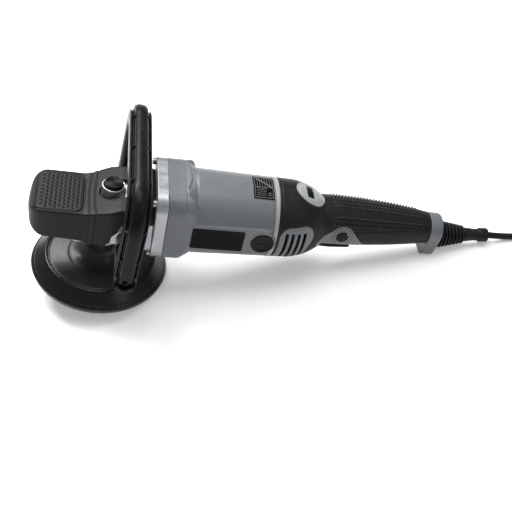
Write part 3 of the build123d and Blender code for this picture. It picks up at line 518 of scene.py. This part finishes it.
# Gear housing: the parting line of its casting.
PARTING_Z = 88.0


def sculpt_casting(p, n):
    x, _, z = p.T
    parting = groove(z - PARTING_Z, 0.9) * rise(0.6, 0.9, np.abs(n[:, 1])) * (x < 50.0)
    return along_normals(n, 0.35 * parting)


# node: voxel in millimetres, sculpting, rounds of smoothing
REMADE = {
    "head_cover": (0.62, sculpt_head, 45), "loop_handle": (0.55, sculpt_loop),
    "motor_housing": (0.75, sculpt_motor),
    "handle_shell_left": (0.6, sculpt_shell, 9), "handle_shell_right": (0.6, sculpt_shell, 9),
    "trigger_surrounds": (0.45, sculpt_surround), "dial_bezel": (0.4, sculpt_bezel),
    "vent_panels": (0.45, None),
    "spindle_lock_button": (0.3, sculpt_button), "backing_ring": (0.75, sculpt_plate_ring),
    "backing_disc": (0.6, sculpt_disc), "gear_housing": (0.65, sculpt_casting), "bearing_box": (0.5, None),
    "collar_band": (0.5, None), "end_ring": (0.5, None), "trigger": (0.4, None), "lock_button": (0.25, None),
    "brush_caps": (0.25, None), "speed_dial": (0.25, None), "plug": (0.45, None),
    "cord_boot": (0.4, sculpt_boot),
}
for node, settings in REMADE.items():
    remake(node, *settings)


# ---------------------------------------------------------------- springs that their joints press, copied as they stand

# node, joint, fixed end and direction in the tool frame, share of the length left at the joint's limit
PRESSED_SPRINGS = (
    ("spindle_lock_spring", "spindle_lock_press", (BUTTON["x"], 0, 112.1), (0, 0, 1), 0.3),
    ("lock_spring", "switch_lock_press", (LOCK_X, -9.6, LOCK_Z), (0, 1, 0), 0.6),
    ("trigger_spring", "trigger_squeeze", (246.0, 0, 83.9), (0, 0, 1), 0.84),
)


def add_spring(node, joint, fixed, direction, keep):
    source = frame["nodes"][node]
    slot = SLOT_OF[node]
    piece = add_piece(f"{node}_coil", source.data.copy(), source["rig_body"], slot, PLAIN[slot])
    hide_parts(node)
    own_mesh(piece)


for settings in PRESSED_SPRINGS:
    add_spring(*settings)


# ---------------------------------------------------------------- chart label on the motor housing

FINE_LINE, BOLD_LINE = 0.11, 0.3        # half widths
CHART = (151.5, 170.5, -17.5, 11.5)     # left, right, near and far
LINE_TOP, LINE_SUNK = 0.08, 0.03
TAPER_X, TAPER_R = (92.0, 174.0), (45.5, 43.3)     # the motor housing's top, from front to back
LABEL_LIFT = 0.56


def chart_strokes():
    """Rules, a falling curve, a few bars and a dot, with no words or figures, each with its half width."""
    left, right, near, far = CHART
    fine = [[(left, near), (right, near), (right, far), (left, far), (left, near)]]
    fine += [[(x, -5.0), (x, far)] for x in np.linspace(left + 2.7, right - 2.7, 6)]
    fine += [[(left, -5.0), (right, -5.0)]]
    fine += [[(left + 1.6, y), (right - 7.0, y)] for y in np.arange(near + 2.4, -6.0, 2.2)]
    ring_centre = np.array([right - 3.2, near + 4.0])
    fine += [[tuple(ring_centre + 1.7 * np.array([math.cos(a), math.sin(a)]))
              for a in np.linspace(0, 2 * math.pi, 17)]]
    bold = [[(left + 0.8, far - 0.8), (left + 8.5, 3.0), (right - 0.8, -4.2)]]
    return [(stroke, FINE_LINE) for stroke in fine] + [(stroke, BOLD_LINE) for stroke in bold]


def label_height(x, y):
    (front, rear), (front_r, rear_r) = TAPER_X, TAPER_R
    radius = front_r + (rear_r - front_r) * (x - front) / (rear - front) + LABEL_LIFT
    return AXIS_Z + math.sqrt(radius * radius - y * y)


def add_chart():
    form = bmesh.new()
    for stroke, half_width in chart_strokes():
        for (xa, ya), (xb, yb) in zip(stroke, stroke[1:]):
            length = math.hypot(xb - xa, yb - ya)
            steps = max(1, int(length / 2.0))
            sx, sy = -(yb - ya) / length * half_width, (xb - xa) / length * half_width
            rows = []
            for i in range(steps + 1):
                x, y = xa + (xb - xa) * i / steps, ya + (yb - ya) * i / steps
                row = []
                for side, lift in ((-1, 0.0), (-1, LINE_TOP), (1, LINE_TOP), (1, 0.0)):
                    px, py = x + side * sx, y + side * sy
                    row.append(form.verts.new(from_tool([px, py, label_height(px, py) + lift - LINE_SUNK])))
                rows.append(row)
            for a, b in zip(rows, rows[1:]):
                for i in range(4):
                    j = (i + 1) % 4
                    form.faces.new((a[i], a[j], b[j], b[i]))
            form.faces.new(rows[0][::-1])
            form.faces.new(rows[-1])
    bmesh.ops.recalc_face_normals(form, faces=form.faces)
    mesh = bpy.data.meshes.new("chart_lines")
    form.to_mesh(mesh)
    form.free()
    add_piece("chart_lines", mesh, "housing", "light_grey_plastic", PLAIN["light_grey_plastic"])
    mesh.polygons.foreach_set("use_smooth", [False] * len(mesh.polygons))


add_chart()

# ---------------------------------------------------------------- cord, coil, tie and plug

CORD_D = 7.6
LEAD = [(391.0, 0.0, 5.8), (410.0, -0.8, 3.9), (432.0, -2.0, 3.9), (452.0, -4.5, 3.9)]
TAIL = [(480.5, -118.5, 9.8), (463.5, -132.5, 7.4), (444.0, -141.0, 8.6), (424.0, -141.0, 8.6)]
COIL = dict(centre=(456.6, -64.0), start=71.0, outer=53.4, pitch=7.6, low=4.6, high=12.3, turns=7.32,
            per_turn=24, inner_step=3.0, climb=(3.62, 3.83), swell=1.006)
BOOT_TIP = (BOOT["x"] + BOOT["length"] * math.cos(BOOT["tilt"]), 0.0,
            BOOT["z"] + BOOT["length"] * math.sin(BOOT["tilt"]))


def coil_place(turn):
    """Four turns inward on the bench, then four outward on top of them, each a step of one diameter."""
    inner = COIL["inner_step"]
    if turn < COIL["climb"][0]:
        step = math.floor(turn) + float(rise(0.83, 1.0, turn % 1.0))
        radius = COIL["outer"] - COIL["pitch"] * min(step, inner)
    else:
        past = turn - 4.0
        step = 0.0 if past < 0 else math.floor(past) + float(rise(0.42, 0.60, past % 1.0))
        radius = COIL["outer"] - COIL["pitch"] * (inner - min(step, inner))
    height = COIL["low"] + (COIL["high"] - COIL["low"]) * float(rise(*COIL["climb"], turn))
    angle = math.radians(COIL["start"] - 360.0 * turn)
    cx, cy = COIL["centre"]
    swell = COIL["swell"]
    return (cx + swell * radius * math.cos(angle), cy + swell * radius * math.sin(angle), height)


def coil_points():
    count = int(COIL["turns"] * COIL["per_turn"])
    return [coil_place(i / COIL["per_turn"]) for i in range(count + 1)]


def add_cord():
    tip = from_tool(BOOT_TIP)
    points = [tip, *from_bench(LEAD), *from_bench(coil_points()), *from_bench(TAIL)]
    curve = bpy.data.curves.new("cord_flex", "CURVE")
    curve.dimensions = "3D"
    curve.bevel_depth = CORD_D / 2 * MM
    curve.bevel_resolution = 5
    curve.resolution_u = 6
    curve.use_fill_caps = True
    spline = curve.splines.new("NURBS")
    spline.points.add(len(points) - 1)
    for point, place in zip(spline.points, points):
        point.co = (*place, 1)
    spline.order_u = 3
    spline.use_endpoint_u = True
    curve.materials.append(PLAIN["plug_black"])
    piece = bpy.data.objects.new("cord_flex", curve)
    bpy.context.scene.collection.objects.link(piece)
    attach(piece, "housing")
    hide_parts("cord_lead", "cord_coil", "cord_tail")
    return piece, tip


TIE = dict(inner=26.0, outer=58.2, low=0.75, high=16.5, corner=4.0, thick=0.65, across=(-6.0, -5.6, 5.6, 6.0),
           turn=math.radians(20.0))


def tie_path(thick):
    """The strap's section through the turns: a rounded rectangle, thick outside its inner face."""
    centre = np.array([(TIE["inner"] + TIE["outer"]) / 2, (TIE["low"] + TIE["high"]) / 2])
    half = np.array([(TIE["outer"] - TIE["inner"]) / 2, (TIE["high"] - TIE["low"]) / 2])
    path = []
    for corner, (sx, sy) in enumerate(((1, 1), (-1, 1), (-1, -1), (1, -1))):
        middle = centre + [sx * (half[0] - TIE["corner"]), sy * (half[1] - TIE["corner"])]
        for i in range(7):
            a = math.radians(90 * corner + 15 * i)
            path.append(middle + (TIE["corner"] + thick) * np.array([math.cos(a), math.sin(a)]))
    return path


def add_tie():
    """A strap round all the turns, on the side away from the plug."""
    form = bmesh.new()
    turn = TIE["turn"]
    cx, cy = COIL["centre"]

    def vertex(place, across):
        x = place[0] * math.cos(turn) - across * math.sin(turn)
        y = place[0] * math.sin(turn) + across * math.cos(turn)
        return form.verts.new(from_bench([cx + x, cy + y, place[1]]))

    outside, inside = (
        [[vertex(place, across) for place in tie_path(thick)] for across in TIE["across"]]
        for thick in (TIE["thick"], 0.0))
    count = len(outside[0])
    for layer in (outside, inside):
        for a, b in zip(layer, layer[1:]):
            for i in range(count):
                j = (i + 1) % count
                form.faces.new((a[i], a[j], b[j], b[i]))
    for end in (0, -1):
        for i in range(count):
            j = (i + 1) % count
            form.faces.new((outside[end][i], outside[end][j], inside[end][j], inside[end][i]))
    bmesh.ops.recalc_face_normals(form, faces=form.faces)
    mesh = bpy.data.meshes.new("coil_tie")
    form.to_mesh(mesh)
    form.free()
    return add_piece("coil_tie", mesh, "housing", "black_rubber")


flex, cord_exit = add_cord()
tie = add_tie()

# ---------------------------------------------------------------- camera, floor and light

CAMERA_PLACE = (-13.9, -639.2, 661.3)     # in the tool frame, in millimetres
CAMERA_LOOK = (0.2060, 0.6990, -0.6850)
CAMERA_RIGHT = (0.9761, -0.0950, 0.1957)
FLOOR_HALF = 6                            # metres
FLOOR_GLOW = 0.22
WORLD_STRENGTH = 0.40

camera = bpy.data.objects.new("camera", bpy.data.cameras.new("camera"))
bpy.context.scene.collection.objects.link(camera)
camera.data.sensor_width = 36.0
camera.data.lens = 56.25
camera.location = from_tool(CAMERA_PLACE)
camera.rotation_mode = "QUATERNION"
look = Vector(np.array(CAMERA_LOOK) @ AXES).normalized()
right = Vector(np.array(CAMERA_RIGHT) @ AXES).normalized()
above = right.cross(look)
camera.rotation_quaternion = Matrix((right, above, -look)).transposed().to_quaternion()
camera.data.clip_start = 0.01
camera.data.clip_end = 50
bpy.context.scene.camera = camera

floor_mesh = bpy.data.meshes.new("floor")
floor_mesh.from_pydata([(x * FLOOR_HALF, y * FLOOR_HALF, 0) for x, y in ((-1, -1), (1, -1), (1, 1), (-1, 1))],
                       [], [(0, 1, 2, 3)])
floor = bpy.data.objects.new("floor", floor_mesh)
bpy.context.scene.collection.objects.link(floor)
floor_paper = make_material("floor_paper", (0.90, 0.90, 0.90), 0.6, mottle=0.01, strength=0.05)
floor_glow = floor_paper.node_tree.nodes["Principled BSDF"]
floor_glow.inputs["Emission Color"].default_value = (1, 1, 1, 1)
floor_glow.inputs["Emission Strength"].default_value = FLOOR_GLOW
floor_mesh.materials.append(floor_paper)


def area_light(name, place, target, size, power):
    data = bpy.data.lights.new(name, "AREA")
    data.shape = "RECTANGLE"
    data.size, data.size_y = size
    data.energy = power
    lamp = bpy.data.objects.new(name, data)
    lamp.location = place
    lamp.rotation_mode = "QUATERNION"
    lamp.rotation_quaternion = (Vector(target) - Vector(place)).to_track_quat("-Z", "Y")
    bpy.context.scene.collection.objects.link(lamp)


area_light("key", (-0.45, 0.8, 1.3), (0, 0, 0.05), (1.1, 0.6), 36)
area_light("fill", (1.1, -0.9, 1.2), (0.05, 0, 0.05), (0.8, 0.8), 3)
area_light("top", (0.1, 0.1, 1.9), (0, 0, 0), (1.3, 0.9), 20)

world = bpy.data.worlds.new("studio")
world.use_nodes = True
world.node_tree.nodes["Background"].inputs["Color"].default_value = (1, 1, 1, 1)
world.node_tree.nodes["Background"].inputs["Strength"].default_value = WORLD_STRENGTH
bpy.context.scene.world = world
bpy.context.scene.view_settings.view_transform = "Standard"
